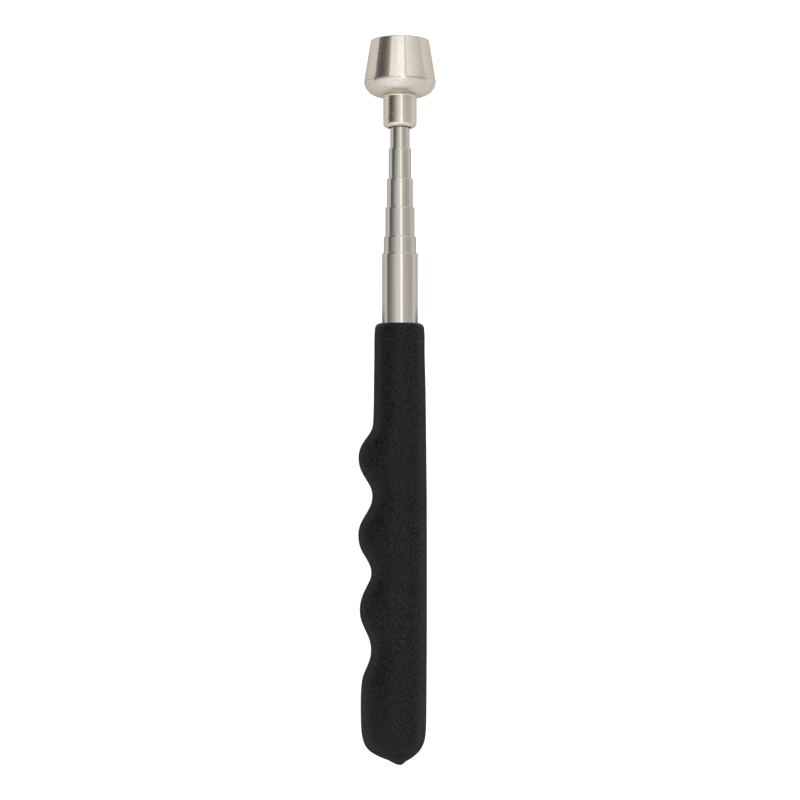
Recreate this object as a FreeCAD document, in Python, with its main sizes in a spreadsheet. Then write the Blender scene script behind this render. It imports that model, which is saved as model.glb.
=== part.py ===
"""Telescoping magnetic pickup tool, drawn as an assembly of separate pieces.

Every piece is drawn in the tool's own frame: z runs along the tool's axis, from the tip of the
grip (z = 0) to the face of the magnet, and +x is the side of the finger ridges. The placement
at the end lays the tool down on its side: the axis becomes +X of the row frame, the finger
ridges point to +Y, and the widest ring of the magnet cup touches z = 0.
All sizes are millimetres and live in the spreadsheet "dims".
"""

import FreeCAD, Part
import math
import os

import Sketcher
from FreeCAD import Placement, Rotation, Vector

doc = FreeCAD.newDocument("magnetic_pickup_tool")

# ---------------------------------------------------------------------------------------------
# driving dimensions
# ---------------------------------------------------------------------------------------------
SIZES = [
    # overall
    ("closed_length", 206.4, "tip of the grip to the magnet face, all sections pushed in"),
    ("lying_height", 10.25, "height of the tool's axis above the surface that it lies on"),
    # telescoping tubes, section 1 is the thin stem and section 6 the base tube in the grip
    ("tube_wall", 0.30, "wall of every drawn steel tube"),
    ("stem_od", 5.56, "section 1"),
    ("section_two_od", 6.49, "section 2"),
    ("section_three_od", 7.42, "section 3"),
    ("section_four_od", 8.35, "section 4"),
    ("section_five_od", 9.28, "section 5"),
    ("base_od", 10.21, "section 6, held in the grip"),
    ("tubes_foot", 16.20, "lower end of the five sliding sections when pushed in"),
    ("section_two_top", 175.55, "mouth of section 2"),
    ("section_three_top", 166.93, "mouth of section 3"),
    ("section_four_top", 158.80, "mouth of section 4"),
    ("section_five_top", 150.45, "mouth of section 5"),
    ("base_top", 145.70, "mouth of the base tube"),
    ("stem_top", 188.90, "end of the stem inside the neck"),
    ("base_foot", 7.50, "lower end of the base tube"),
    ("lip_length", 1.50, "rolled-in lip at the mouth of each tube"),
    ("lip_cone", 0.25, "cone behind the lip"),
    ("lip_clearance", 0.03, "radial, lip to the tube that slides in it"),
    ("swage_length", 0.40, "each mouth is drawn in over this length"),
    ("swage_draw", 0.06, "radial, how much each mouth is drawn in"),
    ("mouth_radius", 0.22, "rounding of each tube's mouth"),
    ("flare_length", 1.80, "flared foot of each sliding section"),
    ("shoe_clearance", 0.04, "radial, foot and friction shoes to the tube around them"),
    ("shoe_length", 12.00, "friction shoe"),
    ("shoe_play", 0.10, "axial play of the shoes at each end of their groove"),
    ("shoe_seat", 0.02, "radial, shoe to the bottom of its groove"),
    ("shoe_arc", 168.0, "degrees of the circle that one shoe covers"),
    ("groove_depth", 0.10, "groove for the shoes, cut in the tube's outside"),
    # base plug
    ("plug_top", 16.00, "stop for the five sliding sections"),
    ("plug_foot", 6.50, "floor of the grip's bore"),
    ("plug_fit", 0.01, "radial"),
    ("plug_chamfer", 0.50, "lead of the plug into the tube"),
    # neck
    ("neck_od", 9.57, ""),
    ("neck_foot", 181.45, "lower end of the neck"),
    ("neck_round", 1.10, "rounding of the neck's lower edge"),
    ("neck_shoulder_od", 9.96, "the neck's upper end flares out a little under the cup"),
    ("neck_shoulder_foot", 190.10, "start of that flare"),
    ("neck_bore_end", 189.00, "floor of the stem's socket"),
    ("neck_bore_fit", 0.02, "radial, socket to stem"),
    ("neck_recess_od", 6.70, "recess round the stem in the neck's lower end"),
    ("neck_recess", 0.90, "depth of that recess"),
    ("spigot_od", 6.00, "spigot through the floor of the cup"),
    ("rivet_od", 8.60, "countersunk head peened over inside the cup"),
    ("rivet_depth", 1.30, "height of the countersunk head"),
    ("rivet_fit", 0.02, "clearance of spigot and head in the cup"),
    ("stem_plug_foot", 179.50, "plug that stiffens the stem inside the neck"),
    # magnet cup
    ("cup_foot", 190.44, "underside of the cup where it sits on the neck"),
    ("cup_rim_od", 16.62, "where the cone would meet the face without its edge"),
    ("cup_crease_od", 20.50, "widest ring, the crease where the cone ends and the rounding starts"),
    ("cup_crease", 194.55, "height of the crease"),
    ("cup_foot_od", 19.76, "where the side under the crease would meet the underside without its rounding"),
    ("cup_side_foot", 190.74, "height of that edge, the underside falls from it to the neck"),
    ("cup_round", 4.36, "rounding between crease and underside"),
    ("cup_rim_edge", 0.60, "outer edge of the rim"),
    ("cup_cavity_edge", 0.18, "inner edge of the rim"),
    ("cavity_od", 14.40, "pocket for the magnet"),
    ("cavity_floor", 196.00, "floor of the pocket"),
    ("magnet_od", 12.70, "half inch disc"),
    ("magnet_foot", 196.02, "back of the magnet"),
    ("magnet_edge", 0.30, "rounding of the magnet's plated edges"),
    ("potting_fit", 0.01, "radial"),
    ("potting_recess", 0.45, "potting stands below the rim"),
    # grip
    ("grip_top", 125.80, "mouth of the grip"),
    ("grip_mouth_round", 1.55, "outer rounding of the grip's mouth"),
    ("grip_bore_fit", 0.01, "radial, grip to base tube"),
]

# Table of offsets of the grip: height above the tip, reach on the finger side, reach on the
# palm side, and half depth. Each row is one egg-shaped section round the tool's axis.
STATIONS = [
    (0.05, 0.72, 0.52, 0.60),
    (0.14, 1.12, 0.76, 0.92),
    (0.40, 1.68, 1.06, 1.36),
    (0.82, 2.46, 1.52, 1.98),
    (1.35, 3.42, 2.24, 2.82),
    (1.87, 4.62, 3.05, 3.80),
    (2.46, 6.05, 3.90, 4.95),
    (3.12, 7.30, 4.65, 5.95),
    (3.80, 8.35, 5.35, 6.85),
    (4.72, 9.35, 6.05, 7.65),
    (5.80, 10.05, 6.62, 8.20),
    (7.40, 10.62, 7.13, 8.60),
    (9.80, 11.00, 7.42, 8.85),
    (13.00, 11.16, 7.52, 8.95),
    (17.50, 11.20, 7.57, 8.95),
    (21.00, 11.11, 7.60, 8.86),
    (23.60, 10.88, 7.62, 8.70),
    (25.60, 10.42, 7.63, 8.52),
    (27.40, 9.66, 7.64, 8.34),
    (29.00, 8.99, 7.64, 8.18),
    (30.60, 8.48, 7.66, 8.06),
    (32.40, 8.28, 7.67, 7.96),
    (34.20, 8.40, 7.67, 7.90),
    (36.00, 8.84, 7.67, 7.88),
    (38.00, 9.72, 7.68, 7.90),
    (40.00, 10.62, 7.69, 7.92),
    (42.00, 11.26, 7.69, 7.95),
    (44.20, 11.46, 7.69, 7.96),
    (46.40, 11.22, 7.69, 7.94),
    (48.40, 10.60, 7.70, 7.90),
    (50.20, 9.80, 7.70, 7.84),
    (51.80, 8.96, 7.70, 7.78),
    (53.20, 8.38, 7.70, 7.74),
    (54.70, 8.18, 7.70, 7.72),
    (56.20, 8.38, 7.70, 7.73),
    (57.60, 8.96, 7.70, 7.77),
    (59.20, 9.88, 7.69, 7.82),
    (61.00, 10.92, 7.69, 7.88),
    (63.00, 11.62, 7.69, 7.92),
    (65.30, 11.89, 7.69, 7.93),
    (67.60, 11.60, 7.69, 7.91),
    (69.50, 10.82, 7.68, 7.86),
    (71.20, 9.84, 7.68, 7.79),
    (72.90, 8.86, 7.67, 7.72),
    (74.60, 8.15, 7.67, 7.66),
    (76.50, 7.90, 7.66, 7.62),
    (78.40, 8.16, 7.65, 7.61),
    (80.20, 9.00, 7.63, 7.63),
    (81.80, 9.98, 7.61, 7.66),
    (83.60, 10.96, 7.59, 7.70),
    (85.40, 11.60, 7.57, 7.73),
    (87.30, 11.80, 7.55, 7.74),
    (89.20, 11.62, 7.53, 7.71),
    (91.00, 10.95, 7.51, 7.65),
    (92.60, 9.95, 7.49, 7.58),
    (94.20, 8.80, 7.47, 7.50),
    (95.80, 7.98, 7.46, 7.43),
    (98.20, 7.62, 7.43, 7.37),
    (104.00, 7.46, 7.36, 7.28),
    (111.00, 7.40, 7.22, 7.18),
    (118.50, 7.31, 7.06, 7.08),
    (125.80, 7.14, 6.92, 6.98),
]

sheet = doc.addObject("Spreadsheet::Sheet", "dims")
sheet.set("A1", "dimension")
sheet.set("B1", "value")
sheet.set("C1", "meaning")
for row, (alias, value, meaning) in enumerate(SIZES, start=2):
    sheet.set("A%d" % row, alias)
    sheet.set("B%d" % row, str(value))
    sheet.setAlias("B%d" % row, alias)
    sheet.set("C%d" % row, meaning)
for i, (height, ridge_side, palm_side, half_depth) in enumerate(STATIONS):
    row = i + 2
    for column, name, value in (
        ("F", "height", height),
        ("G", "ridge", ridge_side),
        ("H", "palm", palm_side),
        ("I", "depth", half_depth),
    ):
        sheet.set("%s%d" % (column, row), str(value))
        sheet.setAlias("%s%d" % (column, row), "station_%s_%s" % (chr(97 + i // 26) + chr(97 + i % 26), name))
doc.recompute()

VALUES = {alias: value for alias, value, _ in SIZES}


class Dim:
    """A size: its value, and the expression that ties it to the spreadsheet."""

    def __init__(self, value, text):
        self.value = float(value)
        self.text = text

    @staticmethod
    def of(other):
        return other if isinstance(other, Dim) else Dim(other, repr(float(other)))

    def __add__(self, other):
        other = Dim.of(other)
        return Dim(self.value + other.value, "(%s + %s)" % (self.text, other.text))

    def __sub__(self, other):
        other = Dim.of(other)
        return Dim(self.value - other.value, "(%s - %s)" % (self.text, other.text))

    def __mul__(self, other):
        other = Dim.of(other)
        return Dim(self.value * other.value, "(%s * %s)" % (self.text, other.text))

    def __truediv__(self, other):
        other = Dim.of(other)
        return Dim(self.value / other.value, "(%s / %s)" % (self.text, other.text))


def cell(alias, value=None):
    return Dim(VALUES[alias] if value is None else value, "dims." + alias)


AXIS = Dim(0.0, "0")


# ---------------------------------------------------------------------------------------------
# drawing helpers
# ---------------------------------------------------------------------------------------------
def new_body(label):
    body = doc.addObject("PartDesign::Body", label)
    body.Label = label
    return body


def origin_plane(body, role):
    return [o for o in body.Origin.OriginFeatures if o.Role == role][0]


def new_sketch(body, name, role):
    sketch = body.newObject("Sketcher::SketchObject", name)
    sketch.AttachmentSupport = [(origin_plane(body, role), "")]
    sketch.MapMode = "FlatFace"
    return sketch


def drive(sketch, constraint, dim):
    index = sketch.addConstraint(constraint)
    sketch.setExpression("Constraints[%d]" % index, dim.text)


def half_section(body, name, corners):
    """A closed outline in the body's XZ plane: x is the radius and y the height along the axis."""
    sketch = new_sketch(body, name, "XZ_Plane")
    points = [Vector(r.value, z.value, 0) for r, z in corners]
    count = len(points)
    for i in range(count):
        sketch.addGeometry(Part.LineSegment(points[i], points[(i + 1) % count]), False)
    for i in range(count):
        sketch.addConstraint(Sketcher.Constraint("Coincident", i, 2, (i + 1) % count, 1))
    for i, (r, z) in enumerate(corners):
        before = corners[i - 1] if i else (None, None)
        if r is AXIS:
            sketch.addConstraint(Sketcher.Constraint("PointOnObject", i, 1, -2))
        elif before[0] is r:
            sketch.addConstraint(Sketcher.Constraint("Vertical", i - 1))
        else:
            drive(sketch, Sketcher.Constraint("DistanceX", -1, 1, i, 1, r.value), r)
        if before[1] is z:
            sketch.addConstraint(Sketcher.Constraint("Horizontal", i - 1))
        else:
            drive(sketch, Sketcher.Constraint("DistanceY", -1, 1, i, 1, z.value), z)
    return sketch


def turned(body, name, corners, angle=None):
    """A piece turned about the tool's axis."""
    sketch = half_section(body, name + "_outline", corners)
    turn = body.newObject("PartDesign::Revolution", name + "_turn")
    turn.Profile = sketch
    turn.ReferenceAxis = (sketch, ["V_Axis"])
    turn.Angle = 360.0
    if angle is not None:
        turn.Midplane = True
        turn.setExpression("Angle", angle.text)
    sketch.Visibility = False
    doc.recompute()
    return turn


def ring_edges(feature, radius, height):
    """The names of the round edges with that radius at that height."""
    found = []
    for i, edge in enumerate(feature.Shape.Edges, start=1):
        curve = edge.Curve
        if curve.TypeId == "Part::GeomCircle" and abs(curve.Radius - radius) < 1e-4 and abs(curve.Center.z - height) < 1e-4:
            found.append("Edge%d" % i)
    if not found:
        raise RuntimeError("no round edge of radius %.3f at height %.3f on %s" % (radius, height, feature.Label))
    return found


def dress(body, kind, name, base, rings, dim):
    """A fillet or chamfer on round edges, given as (radius, height) pairs."""
    names = [n for r, z in rings for n in ring_edges(base, r.value, z.value)]
    feature = body.newObject("PartDesign::" + kind, name)
    feature.Base = (base, names)
    feature.setExpression("Radius" if kind == "Fillet" else "Size", dim.text)
    base.Visibility = False
    doc.recompute()
    return feature


# ---------------------------------------------------------------------------------------------
# telescoping sections
# ---------------------------------------------------------------------------------------------
wall = cell("tube_wall")
foot = cell("tubes_foot")
groove_floor = foot + cell("flare_length")
groove_top = groove_floor + cell("shoe_length") + cell("shoe_play") * 2

OUTER = {
    1: cell("stem_od") / 2,
    2: cell("section_two_od") / 2,
    3: cell("section_three_od") / 2,
    4: cell("section_four_od") / 2,
    5: cell("section_five_od") / 2,
    6: cell("base_od") / 2,
}
INNER = {k: OUTER[k] - wall for k in OUTER}
DRAWN = {k: OUTER[k] - cell("swage_draw") for k in OUTER}
TOP = {
    1: cell("stem_top"),
    2: cell("section_two_top"),
    3: cell("section_three_top"),
    4: cell("section_four_top"),
    5: cell("section_five_top"),
    6: cell("base_top"),
}


def foot_corners(k):
    """Flared foot and shoe groove of a sliding section, from its bore out and up to its outside."""
    flare = INNER[k + 1] - cell("shoe_clearance")
    groove = OUTER[k] - cell("groove_depth")
    return [
        (INNER[k], foot),
        (flare, foot),
        (flare, groove_floor),
        (groove, groove_floor),
        (groove, groove_top),
        (OUTER[k], groove_top),
    ]


def mouth_corners(k):
    """Drawn-in mouth and its lip, from the tube's outside over the mouth to its bore."""
    lip = OUTER[k - 1] + cell("lip_clearance")
    lip_foot = TOP[k] - cell("lip_length")
    return [
        (OUTER[k], TOP[k] - cell("swage_length")),
        (DRAWN[k], TOP[k]),
        (lip, TOP[k]),
        (lip, lip_foot),
        (INNER[k], lip_foot - cell("lip_cone")),
    ], lip


# The stem: flared foot, plain upper end that goes up into the neck.
stem = new_body("stem_tube")
stem_turn = turned(
    stem,
    "stem_tube",
    foot_corners(1) + [(OUTER[1], TOP[1]), (INNER[1], TOP[1])],
)

# Sections 2 to 5: flared foot, and a rolled mouth that holds the section inside it.
for k, label in ((2, "section_2_tube"), (3, "section_3_tube"), (4, "section_4_tube"), (5, "section_5_tube")):
    body = new_body(label)
    mouth, lip = mouth_corners(k)
    turn = turned(body, label, foot_corners(k) + mouth)
    dress(body, "Fillet", label + "_mouth", turn, [(DRAWN[k], TOP[k])], cell("mouth_radius"))

# The base tube, fixed in the grip: plain foot on the plug's flange.
base = new_body("base_tube")
mouth, lip = mouth_corners(6)
base_turn = turned(
    base,
    "base_tube",
    [(INNER[6], cell("base_foot")), (OUTER[6], cell("base_foot"))] + mouth,
)
dress(base, "Fillet", "base_tube_mouth", base_turn, [(DRAWN[6], TOP[6])], cell("mouth_radius"))

# Friction shoes: two bronze half shells in the groove of each sliding section.
for k in (1, 2, 3, 4, 5):
    inside = OUTER[k] - cell("groove_depth") + cell("shoe_seat")
    outside = INNER[k + 1] - cell("shoe_clearance")
    low = groove_floor + cell("shoe_play")
    high = low + cell("shoe_length")
    for side in ("left", "right"):
        label = "friction_shoe_%d_%s" % (k, side)
        body = new_body(label)
        turned(
            body,
            label,
            [(inside, low), (outside, low), (outside, high), (inside, high)],
            cell("shoe_arc"),
        )

# Plug in the base tube: its flange carries the tube, its top stops the sliding sections.
plug = new_body("base_plug")
plug_radius = INNER[6] - cell("plug_fit")
plug_turn = turned(
    plug,
    "base_plug",
    [
        (AXIS, cell("plug_foot")),
        (OUTER[6], cell("plug_foot")),
        (OUTER[6], cell("base_foot")),
        (plug_radius, cell("base_foot")),
        (plug_radius, cell("plug_top")),
        (AXIS, cell("plug_top")),
    ],
)
dress(plug, "Chamfer", "base_plug_lead", plug_turn, [(plug_radius, cell("plug_top"))], cell("plug_chamfer"))

# ---------------------------------------------------------------------------------------------
# head
# ---------------------------------------------------------------------------------------------
neck_radius = cell("neck_od") / 2
socket = OUTER[1] + cell("neck_bore_fit")
spigot = cell("spigot_od") / 2
rivet = cell("rivet_od") / 2
shoulder = cell("neck_shoulder_od") / 2
recess = cell("neck_recess_od") / 2
recess_end = cell("neck_foot") + cell("neck_recess")
cup_foot = cell("cup_foot")
rivet_top = cell("cavity_floor") - cell("rivet_fit")
neck = new_body("neck_hub")
neck_turn = turned(
    neck,
    "neck_hub",
    [
        (socket, recess_end),
        (recess, recess_end),
        (recess, cell("neck_foot")),
        (neck_radius, cell("neck_foot")),
        (neck_radius, cell("neck_shoulder_foot")),
        (shoulder, cup_foot),
        (spigot, cup_foot),
        (spigot, rivet_top - cell("rivet_depth")),
        (rivet, rivet_top),
        (AXIS, rivet_top),
        (AXIS, cell("neck_bore_end")),
        (socket, cell("neck_bore_end")),
    ],
)
dress(neck, "Fillet", "neck_hub_round", neck_turn, [(neck_radius, cell("neck_foot"))], cell("neck_round"))

cup = new_body("magnet_cup")
hole = spigot + cell("rivet_fit")
sink = rivet + cell("rivet_fit")
cavity = cell("cavity_od") / 2
rim_radius = cell("cup_rim_od") / 2
foot_radius = cell("cup_foot_od") / 2
side_foot = cell("cup_side_foot")
rim = cell("closed_length")
cavity_floor = cell("cavity_floor")
cup_turn = turned(
    cup,
    "magnet_cup",
    [
        (hole, cup_foot),
        (shoulder, cup_foot),
        (foot_radius, side_foot),
        (cell("cup_crease_od") / 2, cell("cup_crease")),
        (rim_radius, rim),
        (cavity, rim),
        (cavity, cavity_floor),
        (sink, cavity_floor),
        (hole, cavity_floor - cell("rivet_depth") - cell("rivet_fit")),
    ],
)
cup_round = dress(cup, "Fillet", "magnet_cup_round", cup_turn, [(foot_radius, side_foot)], cell("cup_round"))
cup_rim = dress(cup, "Fillet", "magnet_cup_rim", cup_round, [(rim_radius, rim)], cell("cup_rim_edge"))
dress(cup, "Fillet", "magnet_cup_cavity_edge", cup_rim, [(cavity, rim)], cell("cup_cavity_edge"))


def round_pad(label, radii, low, high):
    """A disc or a ring padded along the axis."""
    body = new_body(label)
    sketch = new_sketch(body, label + "_circles", "XY_Plane")
    sketch.AttachmentOffset = Placement(Vector(0, 0, low.value), Rotation())
    sketch.setExpression("AttachmentOffset.Base.z", low.text)
    for i, radius in enumerate(radii):
        sketch.addGeometry(Part.Circle(Vector(0, 0, 0), Vector(0, 0, 1), radius.value), False)
        sketch.addConstraint(Sketcher.Constraint("Coincident", i, 3, -1, 1))
        drive(sketch, Sketcher.Constraint("Radius", i, radius.value), radius)
    pad = body.newObject("PartDesign::Pad", label + "_pad")
    pad.Profile = sketch
    pad.setExpression("Length", (high - low).text)
    sketch.Visibility = False
    doc.recompute()
    return body, pad


magnet_radius = cell("magnet_od") / 2
magnet_foot = cell("magnet_foot")
magnet, magnet_pad = round_pad("magnet_disc", [magnet_radius], magnet_foot, rim)
dress(
    magnet,
    "Fillet",
    "magnet_disc_edges",
    magnet_pad,
    [(magnet_radius, magnet_foot), (magnet_radius, rim)],
    cell("magnet_edge"),
)

round_pad(
    "potting_ring",
    [cavity - cell("potting_fit"), magnet_radius + cell("potting_fit")],
    magnet_foot,
    rim - cell("potting_recess"),
)

# Plug pressed into the stem where the neck grips it.
stem_plug = doc.addObject("Part::Cylinder", "stem_plug")
stem_plug.Label = "stem_plug"
stem_plug.setExpression("Radius", (INNER[1] - cell("plug_fit")).text)
stem_plug.setExpression("Height", (cell("stem_top") - cell("stem_plug_foot")).text)

# ---------------------------------------------------------------------------------------------
# grip
# ---------------------------------------------------------------------------------------------
# The skin is one smooth surface through all the sections of the table. A loft through that many
# sketches overshoots between them, so the surface is interpolated: each section is a closed
# cubic spline, and each of its poles follows a cubic spline along the tool.
AROUND = 48
FLAT_REACH = 1.035
FLAT_BLEND = 0.015
FLAT_SPAN = (0.0, 6.0, 94.0, 110.0)


def station_cell(i, name):
    return getattr(sheet, "station_%s_%s" % (chr(97 + i // 26) + chr(97 + i % 26), name))


def grip_sections():
    """Height, finger side, palm side and half depth of every section, the rounded mouth last."""
    names = ("height", "ridge", "palm", "depth")
    table = [[station_cell(i, name) for name in names] for i in range(len(STATIONS))]
    top, ridge, palm, depth = table.pop()
    mouth = sheet.grip_mouth_round
    for degrees in (0, 22.5, 45, 67.5, 90):
        up = mouth * (math.sin(math.radians(degrees)) - 1)
        inward = mouth * (1 - math.cos(math.radians(degrees)))
        table.append([top + up, ridge - inward, palm - inward, depth - inward])
    return table


def flattened(share, height):
    """Half depth as a share of the section's own, with a narrow flat along each side of the grip.
    The section is drawn a little too deep and then levelled off, with a soft shoulder on each side of the flat.
    The flat fades out towards the tip and towards the mouth."""
    deep = abs(share) * FLAT_REACH
    over = min((deep - 1) / FLAT_BLEND + 1, 2.0)
    if over > 0:
        deep = 1 - FLAT_BLEND * (1 - over + over * over / 4)
    start, full, fade, end = FLAT_SPAN
    amount = max(0.0, min(1.0, (height - start) / (full - start), (end - height) / (end - fade)))
    return math.copysign(abs(share) + (deep - abs(share)) * amount, share)


def grip_skin():
    turns = [j / AROUND for j in range(AROUND + 1)]
    table = grip_sections()
    rings, along = [], [0.0]
    for i, (height, ridge, palm, depth) in enumerate(table):
        points = []
        reach, middle = (ridge + palm) / 2, (ridge - palm) / 2
        # The egg is widest near the tool's axis, not halfway between ridge and palm.
        lean = 0.9 * middle / reach
        full = math.sqrt(1 - (middle / reach) ** 2) * (1 + lean * middle / reach)
        for j in range(AROUND):
            angle = 2 * math.pi * j / AROUND
            across = middle + reach * math.cos(angle)
            deep = depth * flattened(math.sin(angle) * (1 - lean * math.cos(angle)) / full, height)
            points.append(Vector(across, deep, height))
        curve = Part.BSplineCurve()
        curve.interpolate(Points=points, PeriodicFlag=True, Parameters=turns)
        rings.append(curve)
        if i:
            along.append(along[-1] + math.hypot(height - table[i - 1][0], depth - table[i - 1][3]))
    rows = []
    for j in range(len(rings[0].getPoles())):
        curve = Part.BSplineCurve()
        curve.interpolate(Points=[ring.getPoles()[j] for ring in rings], Parameters=along)
        rows.append(curve)
    skin = Part.BSplineSurface()
    skin.buildFromPolesMultsKnots(
        [row.getPoles() for row in rows],
        rings[0].getMultiplicities(),
        rows[0].getMultiplicities(),
        rings[0].getKnots(),
        rows[0].getKnots(),
        True,
        False,
        3,
        3,
    )
    side = skin.toShape()
    caps = []
    for height in (table[0][0], table[-1][0]):
        rim_edge = [
            e for e in side.Edges if abs(e.BoundBox.ZMin - height) < 1e-3 and abs(e.BoundBox.ZMax - height) < 1e-3
        ]
        caps.append(Part.Face(Part.Wire(rim_edge)))
    shell = Part.makeShell([side] + caps)
    shell.sewShape()
    solid = Part.makeSolid(shell)
    solid.fix(1e-5, 1e-5, 1e-5)
    if solid.Volume < 0:
        solid.reverse()
    return solid


skin = doc.addObject("Part::Feature", "grip_skin")
skin.Label = "grip_skin"
skin.Shape = grip_skin()

bore = OUTER[6] + cell("grip_bore_fit")
grip_bore = doc.addObject("Part::Cylinder", "grip_bore")
grip_bore.Label = "grip_bore"
grip_bore.setExpression("Radius", bore.text)
grip_bore.setExpression("Height", (cell("grip_top") - cell("plug_foot") + 1).text)
grip_bore.setExpression("Placement.Base.z", "dims.plug_foot")

grip = doc.addObject("Part::Cut", "handle_grip")
grip.Label = "handle_grip"
grip.Base = skin
grip.Tool = grip_bore
doc.recompute()
if not 0 < grip.Shape.Volume < skin.Shape.Volume - 9000:
    raise RuntimeError("the grip's bore cut nothing")

# ---------------------------------------------------------------------------------------------
# laying the tool down
# ---------------------------------------------------------------------------------------------
NODES = [
    "magnet_cup",
    "magnet_disc",
    "potting_ring",
    "neck_hub",
    "stem_plug",
    "stem_tube",
    "section_2_tube",
    "section_3_tube",
    "section_4_tube",
    "section_5_tube",
    "base_tube",
    "base_plug",
    "handle_grip",
] + ["friction_shoe_%d_%s" % (k, side) for k in (1, 2, 3, 4, 5) for side in ("left", "right")]

# x to y, y to z and z to x: the tool's axis becomes the row's +X, its ridges the row's +Y.
LAY = Rotation(Vector(1, 1, 1), 120)
for label in NODES:
    piece = doc.getObjectsByLabel(label)[0]
    turn = Rotation()
    if label == "stem_plug":
        lift = VALUES["stem_plug_foot"]
        offset = "dims.stem_plug_foot - dims.closed_length / 2"
    else:
        lift = 0.0
        offset = "0 - dims.closed_length / 2"
        if label.endswith("_right"):
            turn = Rotation(Vector(0, 0, 1), 180)
    piece.Placement = Placement(
        Vector(lift - VALUES["closed_length"] / 2, 0, VALUES["lying_height"]), LAY.multiply(turn)
    )
    piece.setExpression("Placement.Base.x", offset)
    piece.setExpression("Placement.Base.z", "dims.lying_height")
doc.recompute()

for obj in doc.Objects:
    if "Invalid" in obj.State or "Error" in obj.State:
        raise RuntimeError("%s failed: %s" % (obj.Label, obj.State))

os.makedirs("parts", exist_ok=True)
for label in NODES:
    piece = doc.getObjectsByLabel(label)[0]
    shape = piece.Shape
    if shape.isNull() or not shape.isValid() or len(shape.Solids) != 1 or shape.Volume <= 0:
        raise RuntimeError("%s is not one valid solid" % label)
    shape.exportStep("parts/%s.step" % label)
    box = shape.optimalBoundingBox()
    print(
        "%-24s %9.1f mm3  x %.2f..%.2f  y %.2f..%.2f  z %.2f..%.2f"
        % (label, shape.Volume, box.XMin, box.XMax, box.YMin, box.YMax, box.ZMin, box.ZMax)
    )
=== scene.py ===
import math

import bpy
import numpy as np
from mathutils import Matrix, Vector


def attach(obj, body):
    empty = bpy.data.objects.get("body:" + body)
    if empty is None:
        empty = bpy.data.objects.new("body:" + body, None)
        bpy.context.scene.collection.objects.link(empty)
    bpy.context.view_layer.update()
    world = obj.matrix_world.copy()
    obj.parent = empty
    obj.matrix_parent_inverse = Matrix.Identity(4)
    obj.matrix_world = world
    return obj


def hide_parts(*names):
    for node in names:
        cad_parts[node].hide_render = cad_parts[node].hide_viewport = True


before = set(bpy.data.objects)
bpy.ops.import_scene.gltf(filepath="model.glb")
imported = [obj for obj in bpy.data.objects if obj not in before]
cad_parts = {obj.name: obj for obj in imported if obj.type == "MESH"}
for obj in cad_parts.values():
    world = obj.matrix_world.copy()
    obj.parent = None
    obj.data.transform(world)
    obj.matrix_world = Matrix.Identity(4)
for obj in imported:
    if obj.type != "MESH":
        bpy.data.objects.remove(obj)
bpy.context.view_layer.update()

# ---------------------------------------------------------------------------------------------
# where things are, in millimetres along the tool's axis from the tip of the grip, and radii
# ---------------------------------------------------------------------------------------------
CLOSED = 206.40
AXIS_HEIGHT = 10.25
WALL = 0.30
RADIUS = {1: 2.78, 2: 3.245, 3: 3.71, 4: 4.175, 5: 4.64, 6: 5.105}
TOP = {1: 188.90, 2: 175.55, 3: 166.93, 4: 158.80, 5: 150.45, 6: 145.70}
TUBES_FOOT = 16.20
BASE_FOOT = 7.50
FLARE = 1.80
GROOVE = 12.20
GROOVE_DEPTH = 0.10
SHOE_CLEARANCE = 0.04
LIP_CLEARANCE = 0.03
LIP_LENGTH = 1.50
LIP_CONE = 0.25
SWAGE_LENGTH = 0.40
SWAGE_DRAW = 0.06
MOUTH_RADIUS = 0.24


def place(z, r, angle):
    """A point at height z along the tool and radius r, in metres in the row frame."""
    return (
        (z - CLOSED / 2) / 1000,
        r * math.cos(angle) / 1000,
        (AXIS_HEIGHT + r * math.sin(angle)) / 1000,
    )


# ---------------------------------------------------------------------------------------------
# mesh helpers
# ---------------------------------------------------------------------------------------------
def rounded(corners, steps=8, support=0.02, loop=True):
    """An outline with its corners rounded. A corner is (z, r) or (z, r, radius of its rounding).
    Each rounding ends in a support ring a little way along the straight, so the straight stays straight in the light."""
    out = []
    count = len(corners)
    for i, corner in enumerate(corners):
        p = Vector(corner[:2])
        radius = corner[2] if len(corner) > 2 else 0.0
        if not loop and i in (0, count - 1):
            out.append(p)
            continue
        before, after = Vector(corners[i - 1][:2]), Vector(corners[(i + 1) % count][:2])
        u, v = (before - p).normalized(), (after - p).normalized()
        turn = math.acos(max(-1.0, min(1.0, u.dot(v))))
        if radius <= 0 or turn > math.pi - 1e-3:
            out.append(p)
            continue
        reach = radius / math.tan(turn / 2)
        centre = p + (u + v).normalized() * (radius / math.sin(turn / 2))
        first, last = p + u * reach, p + v * reach
        a = first - centre
        sweep = math.pi - turn
        side = 1 if (a.x * (last - centre).y - a.y * (last - centre).x) > 0 else -1
        if (before - first).length > 2 * support:
            out.append(first + u * support)
        for k in range(steps + 1):
            t = side * sweep * k / steps
            c, s = math.cos(t), math.sin(t)
            out.append(centre + Vector((a.x * c - a.y * s, a.x * s + a.y * c)))
        if (after - last).length > 2 * support:
            out.append(last + v * support)
    return [(p.x, p.y) for p in out]


def with_supports(outline, support=0.02, loop=True):
    """Adds a ring close to both ends of every long straight."""
    out = []
    count = len(outline)
    for i in range(count):
        a = Vector(outline[i])
        out.append((a.x, a.y))
        if not loop and i == count - 1:
            break
        b = Vector(outline[(i + 1) % count])
        d = b - a
        if d.length > 6 * support:
            n = d.normalized() * support
            out.append((a.x + n.x, a.y + n.y))
            out.append((b.x - n.x, b.y - n.y))
    return out


def finish_mesh(mesh, sharp_degrees):
    mesh.validate()
    mesh.update()
    mesh.shade_smooth()
    mesh.set_sharp_from_angle(angle=math.radians(sharp_degrees))
    mesh.update()


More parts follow.
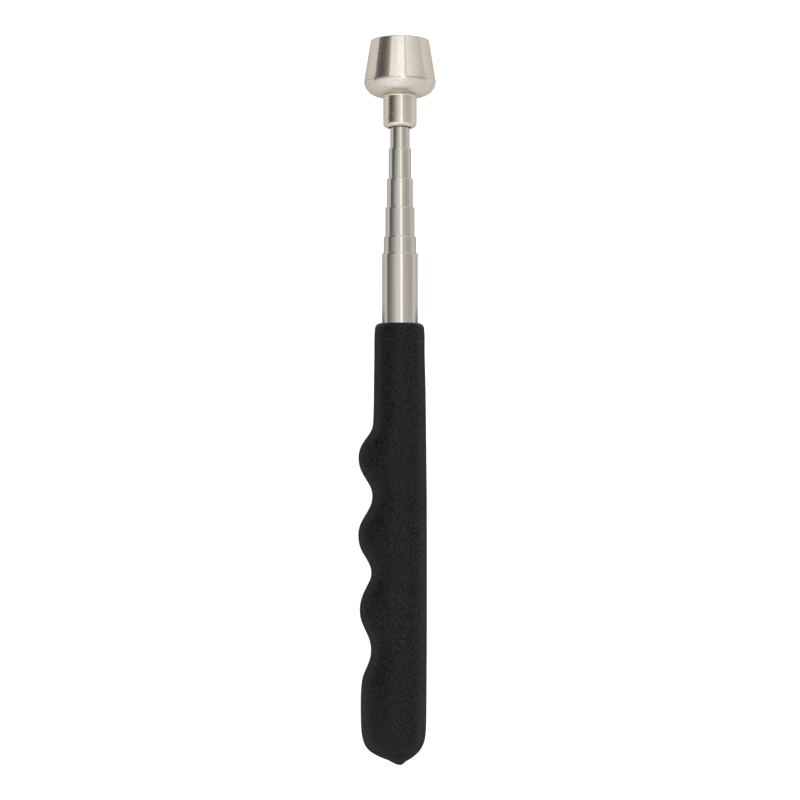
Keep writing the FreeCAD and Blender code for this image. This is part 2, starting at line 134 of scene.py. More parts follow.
def lathe(name, outline, segments=256, sharp_degrees=24.0):
    """A solid turned about the tool's axis. The outline is a closed loop, or an open one whose two ends lie on the axis."""
    on_axis = outline[0][1] < 1e-9 and outline[-1][1] < 1e-9
    vertices, rings, faces = [], [], []
    for z, r in outline:
        if r < 1e-9:
            rings.append([len(vertices)])
            vertices.append(place(z, 0.0, 0.0))
            continue
        rings.append(list(range(len(vertices), len(vertices) + segments)))
        for j in range(segments):
            vertices.append(place(z, r, 2 * math.pi * j / segments))
    pairs = list(zip(rings, rings[1:])) + ([] if on_axis else [(rings[-1], rings[0])])
    for a, b in pairs:
        if len(a) == 1 and len(b) == 1:
            continue
        for j in range(segments):
            k = (j + 1) % segments
            if len(a) == 1:
                faces.append((a[0], b[j], b[k]))
            elif len(b) == 1:
                faces.append((a[j], b[0], a[k]))
            else:
                faces.append((a[j], b[j], b[k], a[k]))
    area = 0.0
    for (z0, r0), (z1, r1) in zip(outline, outline[1:] + outline[:1]):
        area += z0 * r1 - z1 * r0
    if area > 0:
        faces = [tuple(reversed(f)) for f in faces]
    mesh = bpy.data.meshes.new(name)
    mesh.from_pydata(vertices, [], faces)
    finish_mesh(mesh, sharp_degrees)
    piece = bpy.data.objects.new(name, mesh)
    bpy.context.scene.collection.objects.link(piece)
    return piece


def dress(piece, material, body, slot, *replaced):
    piece.data.materials.clear()
    piece.data.materials.append(material)
    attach(piece, body)
    if replaced:
        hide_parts(*replaced)
    return piece


# ---------------------------------------------------------------------------------------------
# materials
# ---------------------------------------------------------------------------------------------
class Tree:
    """A material's node tree, with short calls to add and join nodes."""

    def __init__(self, name):
        self.material = bpy.data.materials.new(name)
        self.material.use_nodes = True
        self.tree = self.material.node_tree
        self.tree.nodes.clear()
        self.out = self.tree.nodes.new("ShaderNodeOutputMaterial")

    def node(self, kind, inputs=None, **settings):
        n = self.tree.nodes.new(kind)
        for key, value in settings.items():
            setattr(n, key, value)
        for key, value in (inputs or {}).items():
            self.put(n.inputs[key], value)
        return n

    def put(self, socket, value):
        if isinstance(value, bpy.types.NodeSocket):
            self.tree.links.new(value, socket)
        else:
            socket.default_value = value

    def points(self, scale=(1, 1, 1), turn=(0, 0, 0)):
        """Coordinates in metres that stay with the piece."""
        where = self.node("ShaderNodeTexCoord").outputs["Object"]
        return self.node(
            "ShaderNodeMapping", {"Vector": where, "Scale": scale, "Rotation": turn}
        ).outputs["Vector"]

    def noise(self, where, scale, detail=2.0, rough=0.5, warp=0.0):
        return self.node(
            "ShaderNodeTexNoise",
            {"Vector": where, "Scale": scale, "Detail": detail, "Roughness": rough, "Distortion": warp},
        ).outputs["Fac"]

    def span(self, value, low, high, to_low, to_high, smooth=False):
        return self.node(
            "ShaderNodeMapRange",
            {"Value": value, "From Min": low, "From Max": high, "To Min": to_low, "To Max": to_high},
            interpolation_type="SMOOTHSTEP" if smooth else "LINEAR",
        ).outputs["Result"]

    def math(self, operation, a, b=0.0, c=0.0, clamp=False):
        n = self.node("ShaderNodeMath", operation=operation, use_clamp=clamp)
        for i, value in enumerate((a, b, c)):
            if i < len(n.inputs):
                self.put(n.inputs[i], value)
        return n.outputs[0]

    def mix(self, share, a, b, blend="MIX"):
        n = self.node("ShaderNodeMix", data_type="RGBA", blend_type=blend)
        self.put(n.inputs[0], share)
        self.put(n.inputs[6], a)
        self.put(n.inputs[7], b)
        return n.outputs[2]

    def bump(self, height, strength, distance, normal=None):
        inputs = {"Height": height, "Strength": strength, "Distance": distance}
        if normal is not None:
            inputs["Normal"] = normal
        return self.node("ShaderNodeBump", inputs).outputs["Normal"]

    def principled(self, **inputs):
        n = self.node("ShaderNodeBsdfPrincipled", {k.replace("_", " "): v for k, v in inputs.items()})
        self.tree.links.new(n.outputs["BSDF"], self.out.inputs["Surface"])
        return n


def rgb(r, g, b):
    return (r, g, b, 1.0)


EDGE = rgb(0.73, 0.71, 0.68)
TUBE_EDGE = rgb(0.62, 0.60, 0.57)


def plated(name, bright, dull, rough_low, rough_high, peel, seed, satin=0.0):
    """Polished plating: slow tone changes, a faint orange peel, fine pits, hairline scratches and dull specks."""
    t = Tree(name)
    where = t.points()
    shifted = t.node("ShaderNodeMapping", {"Vector": where, "Location": (seed, seed * 1.7, -seed)}).outputs["Vector"]
    slow = t.noise(shifted, 190.0, 3.0, 0.6)
    fine = t.noise(shifted, 2600.0, 3.0, 0.6)
    scratch_where = t.node("ShaderNodeMapping", {"Vector": shifted, "Scale": (900, 5200, 5200), "Rotation": (0.2, 0.1, 0.5)}).outputs["Vector"]
    scratch = t.noise(scratch_where, 1.0, 4.0, 0.7, 0.6)
    lines = t.span(scratch, 0.60, 0.70, 0.0, 1.0, True)
    specks = t.span(t.noise(shifted, 1500.0, 2.0, 0.4), 0.66, 0.74, 0.0, 1.0, True)
    colour = t.mix(t.span(slow, 0.3, 0.7, 0.0, 1.0), rgb(*bright), rgb(*dull))
    colour = t.mix(t.math("MULTIPLY", specks, 0.35), colour, rgb(*(0.72 * c for c in dull)))
    rough = t.span(fine, 0.3, 0.7, rough_low, rough_high)
    rough = t.math("ADD", rough, t.math("MULTIPLY", lines, 0.06))
    rough = t.math("ADD", rough, t.math("MULTIPLY", specks, 0.12), clamp=True)
    mottle = t.noise(shifted, 3300.0, 2.0, 0.5)
    colour = t.mix(1.0, colour, t.span(mottle, 0.3, 0.7, 1.09, 0.91), "MULTIPLY")
    pits = t.span(mottle, 0.52, 0.64, 0.0, 1.0, True)
    rough = t.math("ADD", rough, t.math("MULTIPLY", pits, 0.25), clamp=True)
    if satin:
        along = t.node("ShaderNodeSeparateXYZ", {"Vector": where}).outputs["X"]
        crease = (194.35 - CLOSED / 2) / 1000
        rough = t.math("ADD", rough, t.span(along, crease, crease - 0.0012, 0.0, satin, True))
        # A thin dark line is painted into the colour along the crease between the cup's cone and its rounded underside.
        # It is painted shade in the crease, and it also hides a glint there.
        crease_shade_gap = t.math("ABSOLUTE", t.math("SUBTRACT", along, crease + 0.00002))
        colour = t.mix(t.span(crease_shade_gap, 0.00004, 0.00018, 0.26, 0.0, True), colour, rgb(*(0.35 * c for c in dull)))
    normal = t.bump(t.noise(shifted, 620.0, 2.0, 0.5), peel, 0.00002)
    normal = t.bump(t.noise(shifted, 2600.0, 3.0, 0.65), 0.26, 0.000025, normal)
    normal = t.bump(scratch, 0.12, 0.000006, normal)
    t.principled(Base_Color=colour, Metallic=1.0, Roughness=rough, Normal=normal, Specular_Tint=EDGE)
    return t.material


def drawn(name, bright, dull, rough_low, rough_high, seed):
    """A drawn stainless tube: fine lines along the tube, slow tone changes round it, a few scuffs across."""
    t = Tree(name)
    where = t.points()
    along = t.node("ShaderNodeMapping", {"Vector": where, "Location": (seed, seed, 0), "Scale": (22, 3600, 3600)}).outputs["Vector"]
    lines = t.noise(along, 1.0, 3.0, 0.65)
    broad = t.node("ShaderNodeMapping", {"Vector": where, "Location": (0, seed, seed), "Scale": (30, 420, 420)}).outputs["Vector"]
    tone = t.noise(broad, 1.0, 2.0, 0.5)
    across = t.node("ShaderNodeMapping", {"Vector": where, "Location": (seed, 0, seed), "Scale": (3800, 420, 420), "Rotation": (0, 0, 0.06)}).outputs["Vector"]
    scuff = t.span(t.noise(across, 1.0, 3.0, 0.7), 0.64, 0.74, 0.0, 1.0, True)
    colour = t.mix(t.span(tone, 0.3, 0.7, 0.0, 1.0), rgb(*bright), rgb(*dull))
    colour = t.mix(t.math("MULTIPLY", t.span(lines, 0.35, 0.65, 0.0, 1.0), 0.42), colour, rgb(*(0.7 * c for c in dull)))
    rough = t.span(lines, 0.3, 0.7, rough_low, rough_high)
    rough = t.math("ADD", rough, t.math("MULTIPLY", scuff, 0.08), clamp=True)
    normal = t.bump(lines, 0.16, 0.000008)
    normal = t.bump(scuff, 0.05, 0.000006, normal)
    t.principled(Base_Color=colour, Metallic=1.0, Roughness=rough, Normal=normal, Specular_Tint=TUBE_EDGE)
    return t.material


def vinyl(name):
    """Soft black vinyl: sandy grain, slow blue-grey tone changes, a little dust, and grain crests painted lighter,
    partly grain tone and partly painted sheen.
    """
    t = Tree(name)
    where = t.points()
    grain = t.noise(where, 2900.0, 3.0, 0.62)
    grit = t.noise(where, 6000.0, 2.0, 0.6)
    slow = t.noise(where, 95.0, 3.0, 0.6)
    patch = t.noise(where, 420.0, 3.0, 0.6)
    # Grain crests are lighter in colour: partly the grain's own tone, partly painted sheen standing in for the crests'
    # specular sparkle.
    crest_tone_and_sheen = t.span(grain, 0.44, 0.64, 0.0, 1.0)
    colour = t.mix(t.span(slow, 0.3, 0.7, 0.0, 1.0), rgb(0.0014, 0.0019, 0.0022), rgb(0.0026, 0.0030, 0.0026))
    colour = t.mix(t.math("MULTIPLY", crest_tone_and_sheen, 0.90), colour, rgb(0.0340, 0.0362, 0.0356))
    dust = t.span(t.noise(where, 2100.0, 2.0, 0.4), 0.66, 0.74, 0.0, 1.0, True)
    colour = t.mix(t.math("MULTIPLY", dust, 0.5), colour, rgb(0.042, 0.042, 0.040))
    rough = t.span(patch, 0.3, 0.7, 0.34, 0.44)
    rough = t.math("ADD", rough, t.span(grain, 0.3, 0.7, -0.08, 0.10), clamp=True)
    normal = t.bump(grain, 0.60, 0.00005)
    normal = t.bump(grit, 0.30, 0.00002, normal)
    t.principled(
        Base_Color=colour,
        Roughness=rough,
        Normal=normal,
        IOR=1.30,
        Specular_IOR_Level=0.24,
    )
    return t.material


def resin(name):
    t = Tree(name)
    where = t.points()
    slow = t.noise(where, 700.0, 3.0, 0.6)
    bubble = t.node("ShaderNodeTexVoronoi", {"Vector": where, "Scale": 1500.0}).outputs["Distance"]
    pits = t.span(bubble, 0.10, 0.24, 1.0, 0.0, True)
    colour = t.mix(t.span(slow, 0.3, 0.7, 0.0, 1.0), rgb(0.050, 0.046, 0.040), rgb(0.085, 0.076, 0.062))
    colour = t.mix(t.math("MULTIPLY", pits, 0.5), colour, rgb(0.02, 0.019, 0.017))
    rough = t.span(slow, 0.3, 0.7, 0.28, 0.42)
    normal = t.bump(slow, 0.35, 0.00006)
    normal = t.bump(pits, -0.3, 0.00003, normal)
    t.principled(Base_Color=colour, Roughness=rough, Normal=normal, IOR=1.55)
    return t.material


def bronze(name):
    t = Tree(name)
    where = t.points()
    across = t.node("ShaderNodeMapping", {"Vector": where, "Scale": (2600, 300, 300)}).outputs["Vector"]
    marks = t.noise(across, 1.0, 3.0, 0.6)
    stain = t.noise(where, 500.0, 3.0, 0.6)
    colour = t.mix(t.span(stain, 0.3, 0.7, 0.0, 1.0), rgb(0.62, 0.36, 0.17), rgb(0.42, 0.23, 0.11))
    rough = t.span(marks, 0.3, 0.7, 0.22, 0.38)
    normal = t.bump(marks, 0.2, 0.00002)
    t.principled(Base_Color=colour, Metallic=1.0, Roughness=rough, Normal=normal)
    return t.material


def moulded(name):
    t = Tree(name)
    where = t.points()
    grain = t.noise(where, 1800.0, 3.0, 0.6)
    flow = t.noise(where, 260.0, 2.0, 0.5)
    colour = t.mix(t.span(flow, 0.3, 0.7, 0.0, 1.0), rgb(0.018, 0.018, 0.019), rgb(0.030, 0.030, 0.031))
    rough = t.span(grain, 0.3, 0.7, 0.38, 0.5)
    normal = t.bump(grain, 0.25, 0.00004)
    t.principled(Base_Color=colour, Roughness=rough, Normal=normal, IOR=1.49)
    return t.material


def turned_steel(name):
    t = Tree(name)
    where = t.points()
    rings = t.node("ShaderNodeMapping", {"Vector": where, "Scale": (5200, 160, 160)}).outputs["Vector"]
    marks = t.noise(rings, 1.0, 3.0, 0.6)
    stain = t.noise(where, 600.0, 3.0, 0.6)
    colour = t.mix(t.span(stain, 0.3, 0.7, 0.0, 1.0), rgb(0.50, 0.49, 0.47), rgb(0.36, 0.35, 0.33))
    rough = t.span(marks, 0.3, 0.7, 0.26, 0.42)
    normal = t.bump(marks, 0.3, 0.00002)
    t.principled(Base_Color=colour, Metallic=1.0, Roughness=rough, Normal=normal)
    return t.material


NICKEL = plated("bright_nickel", (0.645, 0.588, 0.502), (0.592, 0.538, 0.457), 0.055, 0.11, 0.10, 0.13)
CUP = plated("cup_nickel", (0.645, 0.588, 0.502), (0.592, 0.538, 0.457), 0.055, 0.11, 0.10, 0.31, 0.24)
MAGNET = plated("magnet_plating", (0.62, 0.60, 0.57), (0.50, 0.485, 0.46), 0.14, 0.24, 0.14, 0.57)
TUBE = {
    k: drawn("drawn_stainless_%d" % k, (0.578, 0.552, 0.494), (0.536, 0.512, 0.455), 0.06, 0.16, 0.21 * k)
    for k in (1, 2, 3, 4, 5, 6)
}
VINYL = vinyl("black_vinyl")
RESIN = resin("potting_resin")
BRONZE = bronze("shoe_bronze")
PLASTIC = moulded("plug_plastic")
STEEL = turned_steel("plug_steel")

# ---------------------------------------------------------------------------------------------
# tubes
# ---------------------------------------------------------------------------------------------
BODY_OF_TUBE = {1: "stem_and_head", 2: "section_2", 3: "section_3", 4: "section_4", 5: "section_5", 6: "handle"}
NODE_OF_TUBE = {1: "stem_tube", 2: "section_2_tube", 3: "section_3_tube", 4: "section_4_tube", 5: "section_5_tube", 6: "base_tube"}


def tube_outline(k):
    """One tube's wall: up its bore, over the foot, along the outside, over the mouth and back."""
    outer, inner, top = RADIUS[k], RADIUS[k] - WALL, TOP[k]
    if k == 6:
        foot = [(BASE_FOOT, inner), (BASE_FOOT, outer)]
    else:
        flare = RADIUS[k + 1] - WALL - SHOE_CLEARANCE
        seat = outer - GROOVE_DEPTH
        foot = [
            (TUBES_FOOT, inner, 0.08),
            (TUBES_FOOT, flare, 0.10),
            (TUBES_FOOT + FLARE, flare, 0.05),
            (TUBES_FOOT + FLARE, seat),
            (TUBES_FOOT + FLARE + GROOVE, seat),
            (TUBES_FOOT + FLARE + GROOVE, outer, 0.03),
        ]
    if k == 1:
        mouth = [(top, outer, 0.06), (top, inner, 0.06)]
    else:
        lip = RADIUS[k - 1] + LIP_CLEARANCE
        mouth = [
            (top - SWAGE_LENGTH, outer, 0.8),
            (top, outer - SWAGE_DRAW, MOUTH_RADIUS),
            (top, lip, 0.03),
            (top - LIP_LENGTH, lip),
            (top - LIP_LENGTH - LIP_CONE, inner),
        ]
    return with_supports(rounded(foot + mouth))


for k in (1, 2, 3, 4, 5, 6):
    tube = lathe("tube_%d" % k, tube_outline(k))
    dress(tube, TUBE[k], BODY_OF_TUBE[k], "tube_stainless", NODE_OF_TUBE[k])

# ---------------------------------------------------------------------------------------------
# head
# ---------------------------------------------------------------------------------------------
neck_outline = rounded(
    [
        (181.45, 3.35, 0.04),
        (181.45, 4.785, 1.10),
        (190.10, 4.785, 0.10),
        (190.44, 4.98, 0.03),
        (190.44, 3.00),
        (194.68, 3.00),
        (195.98, 4.30),
        (195.98, 0.0),
        (189.00, 0.0),
        (189.00, 2.80),
        (182.35, 2.80),
        (182.35, 3.35),
    ],
    steps=12,
)
start = [i for i, p in enumerate(neck_outline) if p[1] < 1e-9]
neck_outline = neck_outline[start[1]:] + neck_outline[: start[0] + 1]
neck = lathe("neck_hub_turned", with_supports(neck_outline, loop=False))
dress(neck, NICKEL, "stem_and_head", "head_nickel", "neck_hub")

cup_outline = rounded(
    [
        (190.44, 3.02),
        (190.44, 4.98),
        (190.74, 9.88, 4.36),
        (194.55, 10.25, 0.06),
        (206.40, 8.31, 0.60),
        (206.40, 7.20, 0.18),
        (196.00, 7.20, 0.15),
        (196.00, 4.32),
        (194.68, 3.02),
    ],
    steps=16,
)
cup = lathe("magnet_cup_turned", with_supports(cup_outline), segments=320)
dress(cup, CUP, "stem_and_head", "head_nickel", "magnet_cup")

magnet_outline = rounded(
    [(196.02, 0.0), (196.02, 6.35, 0.30), (206.40, 6.35, 0.30), (206.40, 0.0)], steps=10, loop=False
)
magnet = lathe("magnet_disc_turned", with_supports(magnet_outline, loop=False))
dress(magnet, MAGNET, "stem_and_head", "magnet_nickel", "magnet_disc")

# The potting creeps up a little at both of its edges.
meniscus = [(196.02, 6.36), (196.02, 7.19)]
for i in range(13):
    u = i / 12
    meniscus.append((205.95 - 0.16 + 0.16 * (2 * u - 1) ** 4, 7.19 - 0.83 * u))
potting = lathe("potting_ring_poured", with_supports(meniscus), segments=256, sharp_degrees=40)
dress(potting, RESIN, "stem_and_head", "potting_resin", "potting_ring")

# ---------------------------------------------------------------------------------------------
# grip
# ---------------------------------------------------------------------------------------------
# height above the tip, reach on the finger side, reach on the palm side, half depth
STATIONS = [
    (0.05, 0.72, 0.52, 0.60),
    (0.14, 1.12, 0.76, 0.92),
    (0.40, 1.68, 1.06, 1.36),
    (0.82, 2.46, 1.52, 1.98),
    (1.35, 3.42, 2.24, 2.82),
    (1.87, 4.62, 3.05, 3.80),
    (2.46, 6.05, 3.90, 4.95),
    (3.12, 7.30, 4.65, 5.95),
    (3.80, 8.35, 5.35, 6.85),
    (4.72, 9.35, 6.05, 7.65),
    (5.80, 10.05, 6.62, 8.20),
    (7.40, 10.62, 7.13, 8.60),
    (9.80, 11.00, 7.42, 8.85),
    (13.00, 11.16, 7.52, 8.95),
    (17.50, 11.20, 7.57, 8.95),
    (21.00, 11.11, 7.60, 8.86),
    (23.60, 10.88, 7.62, 8.70),
    (25.60, 10.42, 7.63, 8.52),
    (27.40, 9.66, 7.64, 8.34),
    (29.00, 8.99, 7.64, 8.18),
    (30.60, 8.48, 7.66, 8.06),
    (32.40, 8.28, 7.67, 7.96),
    (34.20, 8.40, 7.67, 7.90),
    (36.00, 8.84, 7.67, 7.88),
    (38.00, 9.72, 7.68, 7.90),
    (40.00, 10.62, 7.69, 7.92),
    (42.00, 11.26, 7.69, 7.95),
    (44.20, 11.46, 7.69, 7.96),
    (46.40, 11.22, 7.69, 7.94),
    (48.40, 10.60, 7.70, 7.90),
    (50.20, 9.80, 7.70, 7.84),
    (51.80, 8.96, 7.70, 7.78),
    (53.20, 8.38, 7.70, 7.74),
    (54.70, 8.18, 7.70, 7.72),
    (56.20, 8.38, 7.70, 7.73),
    (57.60, 8.96, 7.70, 7.77),
    (59.20, 9.88, 7.69, 7.82),
    (61.00, 10.92, 7.69, 7.88),
    (63.00, 11.62, 7.69, 7.92),
    (65.30, 11.89, 7.69, 7.93),
    (67.60, 11.60, 7.69, 7.91),
    (69.50, 10.82, 7.68, 7.86),
    (71.20, 9.84, 7.68, 7.79),
    (72.90, 8.86, 7.67, 7.72),
    (74.60, 8.15, 7.67, 7.66),
    (76.50, 7.90, 7.66, 7.62),
    (78.40, 8.16, 7.65, 7.61),
    (80.20, 9.00, 7.63, 7.63),
    (81.80, 9.98, 7.61, 7.66),
    (83.60, 10.96, 7.59, 7.70),
    (85.40, 11.60, 7.57, 7.73),
    (87.30, 11.80, 7.55, 7.74),
    (89.20, 11.62, 7.53, 7.71),
    (91.00, 10.95, 7.51, 7.65),
    (92.60, 9.95, 7.49, 7.58),
    (94.20, 8.80, 7.47, 7.50),
    (95.80, 7.98, 7.46, 7.43),
    (98.20, 7.62, 7.43, 7.37),
    (104.00, 7.46, 7.36, 7.28),
    (111.00, 7.40, 7.22, 7.18),
    (118.50, 7.31, 7.06, 7.08),
    (125.80, 7.14, 6.92, 6.98),
]
MOUTH_ROUND = 1.55
FLAT_REACH = 1.035
FLAT_BLEND = 0.015
FLAT_SPAN = (0.0, 6.0, 94.0, 110.0)
BORE = 5.115
BORE_FLOOR = 6.50


def cubic_through(t, values, where):
    """A smooth curve through the values at t, read at where."""
    t, values, where = np.asarray(t, float), np.asarray(values, float), np.asarray(where, float)
    n = len(t)
    h = np.diff(t)
    a = np.zeros((n, n))
    b = np.zeros((n, values.shape[1]))
    a[0, 0] = a[-1, -1] = 1.0
    for i in range(1, n - 1):
        a[i, i - 1], a[i, i], a[i, i + 1] = h[i - 1], 2 * (h[i - 1] + h[i]), h[i]
        b[i] = 6 * ((values[i + 1] - values[i]) / h[i] - (values[i] - values[i - 1]) / h[i - 1])
    bend = np.linalg.solve(a, b)
    k = np.clip(np.searchsorted(t, where) - 1, 0, n - 2)
    left, right, step = (t[k + 1] - where)[:, None], (where - t[k])[:, None], h[k][:, None]
    return (
        bend[k] * left**3 / (6 * step)
        + bend[k + 1] * right**3 / (6 * step)
        + (values[k] / step - bend[k] * step / 6) * left
        + (values[k + 1] / step - bend[k + 1] * step / 6) * right
    )


def flattened(share, height):
    """Half depth as a share of the section's own, with a narrow flat along each side of the grip that fades out at both ends."""
    deep = abs(share) * FLAT_REACH
    over = min((deep - 1) / FLAT_BLEND + 1, 2.0)
    if over > 0:
        deep = 1 - FLAT_BLEND * (1 - over + over * over / 4)
    start, full, fade, end = FLAT_SPAN
    amount = max(0.0, min(1.0, (height - start) / (full - start), (end - height) / (end - fade)))
    return math.copysign(abs(share) + (deep - abs(share)) * amount, share)


def grip_mesh(around=176, pitch=0.30):
    table = [list(row) for row in STATIONS]
    top, ridge, palm, depth = table.pop()
    for degrees in (0, 22.5, 45, 67.5, 90):
        up = MOUTH_ROUND * (math.sin(math.radians(degrees)) - 1)
        inward = MOUTH_ROUND * (1 - math.cos(math.radians(degrees)))
        table.append([top + up, ridge - inward, palm - inward, depth - inward])
    along = [0.0]
    for a, b in zip(table, table[1:]):
        along.append(along[-1] + math.hypot(b[0] - a[0], b[3] - a[3]))
    where = []
    for i in range(len(along) - 1):
        crease_shade_gap = along[i + 1] - along[i]
        parts = max(3, int(math.ceil(crease_shade_gap / pitch)))
        where += [along[i] + crease_shade_gap * j / parts for j in range(parts)]
    where.append(along[-1])
    rows = cubic_through(along, table, where)
    rows[:, 0] = np.minimum(rows[:, 0], top)
    vertices, rings = [], []
    for height, ridge, palm, depth in rows:
        reach, middle = (ridge + palm) / 2, (ridge - palm) / 2
        lean = 0.9 * middle / reach
        full = math.sqrt(1 - (middle / reach) ** 2) * (1 + lean * middle / reach)
        rings.append(range(len(vertices), len(vertices) + around))
        for j in range(around):
            angle = 2 * math.pi * j / around
            across = middle + reach * math.cos(angle)
            deep = depth * flattened(math.sin(angle) * (1 - lean * math.cos(angle)) / full, height)
            vertices.append(((height - CLOSED / 2) / 1000, across / 1000, (AXIS_HEIGHT + deep) / 1000))
    # flat mouth, bore and its floor
    last = rows[-1]
    for z, r, share in ((top, None, 0.06), (top, None, 0.93), (top, BORE + 0.02, 1), (top - 0.05, BORE, 1), (top - 0.10, BORE, 1), (BORE_FLOOR + 0.05, BORE, 1), (BORE_FLOOR, BORE, 1)):
        ring = range(len(vertices), len(vertices) + around)
        edge = rings[len(rows) - 1]
        for j in range(around):
            angle = 2 * math.pi * j / around
            inner = place(z, BORE + 0.02 if r is None else r, angle)
            outer = vertices[edge[j]]
            vertices.append(tuple(o + (i - o) * share for i, o in zip(inner, outer)) if share < 1 else inner)
        rings.append(ring)
    tip = len(vertices)
    vertices.append((rows[0][0] / 1000 - CLOSED / 2000, 0.0001 * 0, AXIS_HEIGHT / 1000))
    floor = len(vertices)
    vertices.append(place(BORE_FLOOR, 0, 0))
    faces = []
    for a, b in zip(rings, rings[1:]):
        for j in range(around):
            k = (j + 1) % around
            faces.append((a[j], b[j], b[k], a[k]))
    for j in range(around):
        k = (j + 1) % around
        faces.append((tip, rings[0][j], rings[0][k]))
        faces.append((floor, rings[-1][k], rings[-1][j]))
    mesh = bpy.data.meshes.new("handle_grip_moulded")
    mesh.from_pydata(vertices, [], [tuple(reversed(f)) for f in faces])
    finish_mesh(mesh, 50)
    piece = bpy.data.objects.new("handle_grip_moulded", mesh)
    bpy.context.scene.collection.objects.link(piece)
    return piece


grip = grip_mesh()
dress(grip, VINYL, "handle", "grip_vinyl", "handle_grip")

# ---------------------------------------------------------------------------------------------
# pieces that keep their CAD shape
# ---------------------------------------------------------------------------------------------
for name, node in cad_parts.items():
    if node.hide_render:
        continue
    if name.startswith("friction_shoe"):
        finish, slot = BRONZE, "shoe_bronze"
    elif name == "base_plug":
        finish, slot = PLASTIC, "plug_plastic"
    else:
        finish, slot = STEEL, "plug_steel"
    if not node.data.materials:
        node.data.materials.append(finish)
    for held in node.material_slots:
        held.link = "OBJECT"
        held.material = finish

# ---------------------------------------------------------------------------------------------
# floor, light and camera
# ---------------------------------------------------------------------------------------------
def plane(name, half, z):
    mesh = bpy.data.meshes.new(name)
    mesh.from_pydata([(-half, -half, z), (half, -half, z), (half, half, z), (-half, half, z)], [], [(0, 1, 2, 3)])
    piece = bpy.data.objects.new(name, mesh)
    bpy.context.scene.collection.objects.link(piece)
    return piece


t = Tree("pale_floor")
mirrored = t.node("ShaderNodeLightPath").outputs["Is Glossy Ray"]
spot = t.node("ShaderNodeSeparateXYZ", {"Vector": t.node("ShaderNodeTexCoord").outputs["Object"]})
# Seen only in reflections, the floor close under and beside the tool is painted darker, in both its colour and its
# glow. This is painted shade standing in for the tool's contact shadow.
clear = t.math(
    "MAXIMUM",
    t.span(spot.outputs["X"], 0.020, 0.030, 0.0, 1.0, True),
    t.span(t.math("ABSOLUTE", spot.outputs["Y"]), 0.016, 0.040, 0.0, 1.0, True),
)
in_reflections = t.span(clear, 0.0, 1.0, 0.04, 0.36)
shaded = t.math("MULTIPLY", mirrored, t.math("SUBTRACT", 1.0, clear))
paint = t.node("ShaderNodeBsdfDiffuse", {"Color": t.mix(shaded, rgb(0.80, 0.80, 0.80), rgb(0.20, 0.20, 0.20))})
glow = t.node(
    "ShaderNodeEmission",
    {
        "Color": rgb(1, 1, 1),
        "Strength": t.math("ADD", t.math("MULTIPLY", mirrored, in_reflections), t.span(mirrored, 0.0, 1.0, 0.82, 0.0)),
    },
)
both = t.node("ShaderNodeAddShader")
t.tree.links.new(paint.outputs[0], both.inputs[0])
t.tree.links.new(glow.outputs[0], both.inputs[1])
t.tree.links.new(both.outputs[0], t.out.inputs["Surface"])
t.material.cycles.emission_sampling = "NONE"
floor = plane("floor", 8.0, 0.0)
floor.data.materials.append(t.material)

# A light tent that only shows in reflections: a dark flag low on the left, a bright strip overhead, grey to the right.
t = Tree("light_tent")
where = t.node("ShaderNodeTexCoord").outputs["Object"]
ray = t.node("ShaderNodeVectorMath", {0: where}, operation="NORMALIZE").outputs[0]
parts = t.node("ShaderNodeSeparateXYZ", {"Vector": ray})
tilt = t.math("MULTIPLY", t.math("ARCSINE", parts.outputs["X"]), 180 / math.pi)
turn = t.math(
    "MULTIPLY", t.math("ARCTAN2", t.math("MULTIPLY", parts.outputs["Y"], -1.0), parts.outputs["Z"]), 180 / math.pi
)
share = t.span(turn, -100.0, 100.0, 0.0, 1.0)


def wall(stops):
    """The tent's brightness round the tool, as (degrees from overhead, level, warmth)."""
    ramp = t.node("ShaderNodeValToRGB", {"Fac": share})
    elements = ramp.color_ramp.elements
    while len(elements) < len(stops):
        elements.new(0.5)
    for element, (degrees, level, warmth) in zip(elements, stops):
        element.position = (degrees + 100.0) / 200.0
    for element, (degrees, level, warmth) in zip(elements, stops):
        element.color = (level * (1 + warmth), level, level * (1 - warmth), 1)
    return ramp.outputs["Color"]


low_tubes = wall([(-100, .95, 0), (-90, .26, -.02), (-70, .31, -.03), (-45, .60, -.02), (-35, .84, -.02), (-24, 1.06, -.01), (-10, 1.34, 0), (-3, 1.06, 0), (4, 1.58, 0), (8, 2.15, .01), (13, 2.10, .02), (18, 1.20, .01), (22, .90, 0), (45, .74, .01), (62, .66, .02), (82, .68, .02), (100, .72, 0)])
high_tubes = wall([(-100, .80, .02), (-90, .18, 0), (-73, .20, -.01), (-66, .27, -.02), (-56, .43, -.03), (-47, .59, -.03), (-37, .76, -.03), (-28, .90, -.02), (-12, 1.12, -.01), (-3, 1.08, 0), (4, 1.58, 0), (8, 2.15, .01), (13, 2.05, .02), (18, 1.25, .01), (23, .88, 0), (45, .72, .01), (62, .66, .02), (82, .70, .02), (100, .74, .01)])
neck_wall = wall([(-100, .95, .03), (-87, .90, .03), (-80, .46, .02), (-74, .10, 0), (-63, .04, 0), (-48, .115, .03), (-34, .28, .04), (-18, .73, .01), (-3, 1.15, 0), (5, 1.28, 0), (11, 1.70, 0), (16, 1.32, 0), (22, .82, 0), (50, .64, .01), (70, .73, .01), (100, .92, 0)])
cup_wall = wall([(-100, .90, 0), (-93, 1.0, 0), (-91, .26, 0), (-70, .13, .02), (-55, .17, .03), (-40, .40, .03), (-32, 1.25, .05), (-24, 1.38, -.02), (-18, 1.24, -.02), (-8, 1.52, -.04), (8, 1.66, -.05), (16.5, 1.56, -.05), (19.5, .60, -.02), (24, 1.34, -.03), (50, 1.04, -.02), (85, .78, .0), (100, .86, .01)])
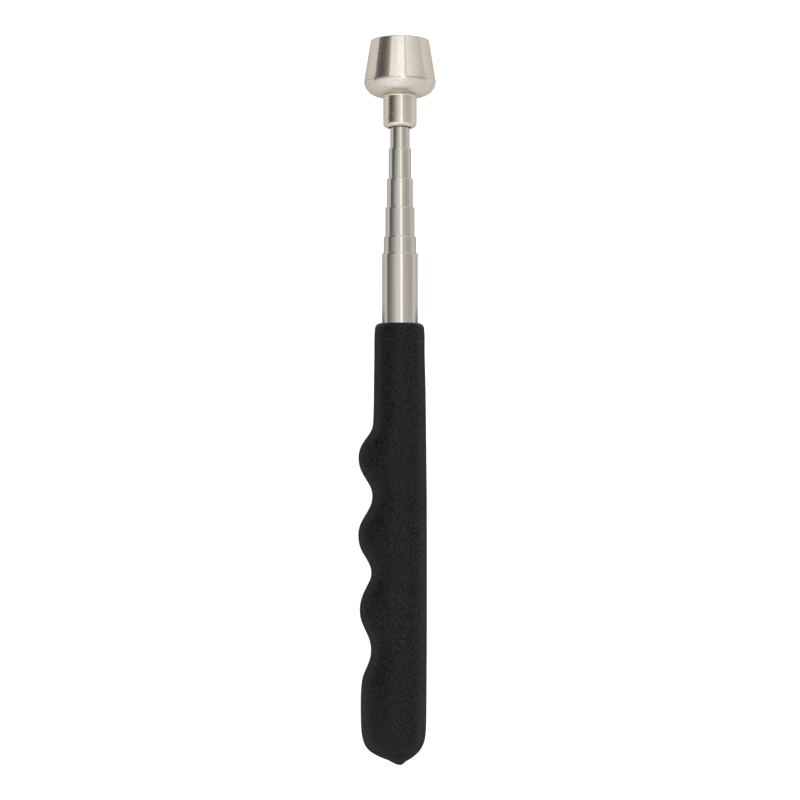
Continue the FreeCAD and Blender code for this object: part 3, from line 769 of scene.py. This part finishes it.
under_wall = wall([(-100, .94, .02), (-80, 1.04, .01), (-60, 1.26, -.02), (-30, 1.38, -.05), (0, 1.42, -.06), (10, 1.38, -.05), (24, 1.12, .0), (60, 1.08, .0), (85, .96, .01), (100, .72, .03)])
under_wall = t.mix(1.0, under_wall, rgb(1.025, 1.0, 1.045), "MULTIPLY")
mixed = t.mix(t.span(tilt, 4.2, 5.6, 0.0, 1.0), low_tubes, high_tubes)
mixed = t.mix(t.span(tilt, 8.6, 10.0, 0.0, 1.0), mixed, neck_wall)
mixed = t.mix(t.span(tilt, 14.0, 22.0, 0.0, 1.0, True), mixed, cup_wall)
mixed = t.mix(t.span(tilt, -6.0, -14.0, 0.0, 1.0, True), mixed, under_wall)
lamp = t.node("ShaderNodeEmission", {"Color": mixed, "Strength": 1.0})
t.tree.links.new(lamp.outputs[0], t.out.inputs["Surface"])
t.material.cycles.emission_sampling = "NONE"
bpy.ops.mesh.primitive_uv_sphere_add(segments=64, ring_count=32, radius=4.0, location=(0, 0, AXIS_HEIGHT / 1000))
tent = bpy.context.object
tent.name = "light_tent"
tent.data.materials.append(t.material)
for ray_kind in ("camera", "diffuse", "transmission", "volume_scatter", "shadow"):
    setattr(tent, "visible_" + ray_kind, False)

world = bpy.data.worlds.new("studio")
world.use_nodes = True
world.node_tree.nodes["Background"].inputs["Color"].default_value = (1.0, 1.0, 1.0, 1)
seen = world.node_tree.nodes.new("ShaderNodeLightPath")
level = world.node_tree.nodes.new("ShaderNodeMapRange")
level.inputs["To Min"].default_value = 0.35
level.inputs["To Max"].default_value = 1.05
world.node_tree.links.new(seen.outputs["Is Camera Ray"], level.inputs["Value"])
world.node_tree.links.new(level.outputs["Result"], world.node_tree.nodes["Background"].inputs["Strength"])
bpy.context.scene.world = world


def softbox(name, where, size, watts):
    data = bpy.data.lights.new(name, "AREA")
    data.shape = "RECTANGLE"
    data.size, data.size_y = size
    data.energy = watts
    lamp = bpy.data.objects.new(name, data)
    lamp.location = where
    lamp.rotation_euler = (Vector((0, 0, 0)) - Vector(where)).to_track_quat("-Z", "Y").to_euler()
    lamp.visible_glossy = False
    bpy.context.scene.collection.objects.link(lamp)
    return lamp


softbox("softbox_over", (0.1, -0.1, 1.6), (1.4, 1.4), 10.0)
softbox("softbox_side", (0.3, -1.3, 0.9), (1.0, 0.8), 4.0)

camera_data = bpy.data.cameras.new("camera")
camera_data.lens = 82.13
camera_data.sensor_width = 36.0
camera_data.clip_start, camera_data.clip_end = 0.01, 50.0
camera = bpy.data.objects.new("camera", camera_data)
camera.location = (0.00072, -0.00001, 0.53025)
camera.rotation_euler = (0.0, 0.0, math.radians(-90))
bpy.context.scene.collection.objects.link(camera)
bpy.context.scene.camera = camera
bpy.context.scene.view_settings.view_transform = "Standard"
